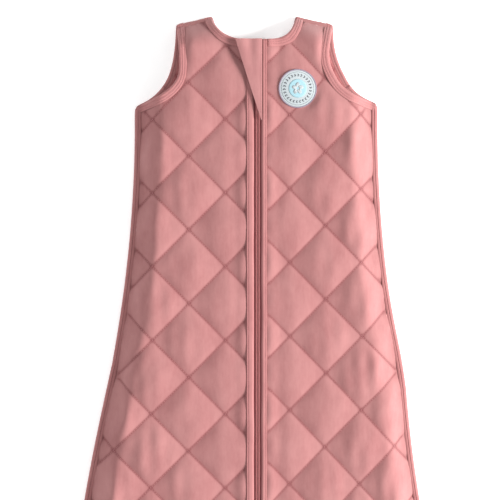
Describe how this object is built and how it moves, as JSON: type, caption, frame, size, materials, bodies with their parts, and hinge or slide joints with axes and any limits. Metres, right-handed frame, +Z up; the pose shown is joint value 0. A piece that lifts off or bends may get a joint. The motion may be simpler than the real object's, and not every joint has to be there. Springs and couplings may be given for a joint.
{
  "type": "baby sleeping bag",
  "caption": "Sleeveless quilted baby sleeping bag with a diamond-stitched front, centre zip, bound neck and armholes and a zip guard at the neck.",
  "frame": {"origin": "on the floor under the middle of the bag, which lies flat on its back", "axes": "+X to the right as seen from in front, +Y to the neck, +Z up out of the front"},
  "size_m": [0.4184, 0.7, 0.0374],
  "materials": {
    "jersey": "soft cotton jersey, dusty rose",
    "lining": "soft cotton jersey, dusty rose",
    "wadding": "lofted polyester wadding",
    "binding": "folded jersey binding, two rows of stitching",
    "thread": "dense satin stitches",
    "label": "blank woven label",
    "patch_white": "dense white embroidery",
    "patch_edge": "overlocked edge",
    "patch_blue": "pale blue embroidery",
    "zip_tape": "woven zip tape",
    "zip_coil": "nylon coil",
    "zip_metal": "enamelled zinc"
  },
  "bodies": {
    "root": {"back_outer": "jersey", "back_fill": "wadding", "back_lining": "lining", "front_left_outer": "jersey", "front_left_fill": "wadding", "front_left_lining": "lining", "front_right_outer": "jersey", "front_right_fill": "wadding", "front_right_lining": "lining", "neck_binding_back": "binding", "neck_binding_front_left": "binding", "neck_binding_front_right": "binding", "armhole_binding_left": "binding", "armhole_binding_right": "binding", "armhole_bartack_left": "thread", "armhole_bartack_right": "thread", "shoulder_tape_left": "binding", "shoulder_tape_right": "binding", "side_binding_left": "binding", "side_binding_right": "binding", "hem_binding": "binding", "size_label": "label", "care_label": "label", "patch_disc": "patch_white", "patch_border": "patch_edge", "patch_motif": "patch_blue", "zip_tape_foot": "zip_tape", "zip_coil_foot": "zip_coil", "zip_bottom_stop": "zip_metal", "piping_foot_left": "binding", "piping_foot_right": "binding"},
    "left_lapel": {"lapel_left_outer": "jersey", "lapel_left_fill": "wadding", "lapel_left_lining": "lining", "neck_binding_lapel_left": "binding", "piping_left": "binding", "zip_tape_left": "zip_tape", "zip_coil_left": "zip_coil", "zip_top_stop_left": "zip_metal"},
    "right_lapel": {"lapel_right_outer": "jersey", "lapel_right_fill": "wadding", "lapel_right_lining": "lining", "neck_binding_lapel_right": "binding", "piping_right": "binding", "zip_tape_right": "zip_tape", "zip_coil_right": "zip_coil", "zip_top_stop_right": "zip_metal"},
    "guard": {"zip_guard": "jersey"},
    "slider": {"slider_body": "zip_metal", "slider_bail": "zip_metal"},
    "pull": {"pull_tab": "zip_metal"}
  },
  "joints": [
    {"name": "lapel_left_fold", "type": "hinge", "parent": "root", "child": "left_lapel", "pos_m": [0, -0.27, 0.034], "axis": [0.0419, -0.9991, 0], "range_deg": [0, 100], "deforming": ["zip_tape_left", "zip_coil_left"]},
    {"name": "lapel_right_fold", "type": "hinge", "parent": "root", "child": "right_lapel", "pos_m": [0, -0.27, 0.034], "axis": [0.0419, 0.9991, 0], "range_deg": [0, 100], "deforming": ["zip_tape_right", "zip_coil_right"]},
    {"name": "zip_slide", "type": "slide", "parent": "root", "child": "slider", "axis": [0, -1, 0], "range_m": [0, 0.6]},
    {"name": "pull_flip", "type": "hinge", "parent": "slider", "child": "pull", "pos_m": [0, 0.309, 0.0335], "axis": [-1, 0, 0], "range_deg": [0, 90]},
    {"name": "guard_lift", "type": "hinge", "parent": "right_lapel", "child": "guard", "pos_m": [0.004, 0.2787, 0.0358], "axis": [0, 1, 0], "range_deg": [0, 110]}
  ],
  "couplings": [
    {"joint": "lapel_right_fold", "follows": "lapel_left_fold", "ratio": 1},
    {"joint": "zip_slide", "follows": "lapel_left_fold", "m_per_rad": 0.33862},
    {"joint": "pull_flip", "follows": "lapel_left_fold", "ratio": 0.5}
  ]
}
